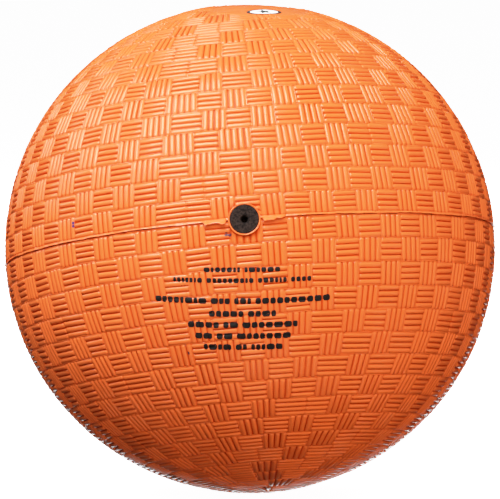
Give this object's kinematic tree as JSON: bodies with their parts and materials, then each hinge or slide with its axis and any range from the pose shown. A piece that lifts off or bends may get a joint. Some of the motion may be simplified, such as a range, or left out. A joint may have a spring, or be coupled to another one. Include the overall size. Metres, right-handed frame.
{
  "type": "playground ball",
  "caption": "Small inflatable rubber playground ball: textured cover moulded in halves over an air bladder, with a recessed self-sealing needle valve on the parting line.",
  "frame": {"origin": "centre of the ball", "axes": "+Z through the pole of the upper mould half, square to the parting line; -Y out through the centre of the valve; +X completes the right-handed frame"},
  "size_m": [0.153, 0.153, 0.1524],
  "materials": {
    "cover_rubber": "moulded orange rubber with a soft satin gloss, embossed in a basket weave of short ribs",
    "bladder_rubber": "smooth matt black bladder rubber with a trace of release powder",
    "patch_rubber": "matt tan reinforcing rubber",
    "housing_rubber": "matt dark moulded rubber",
    "plug_rubber": "matt black moulded rubber with worn grey edges",
    "printing_ink": "stamped ink, black with white in the emblem, satin"
  },
  "bodies": {
    "root": {"cover_upper": "cover_rubber", "cover_lower": "cover_rubber", "bladder": "bladder_rubber", "valve_patch": "patch_rubber", "valve_housing": "housing_rubber", "valve_plug": "plug_rubber"}
  },
  "joints": []
}
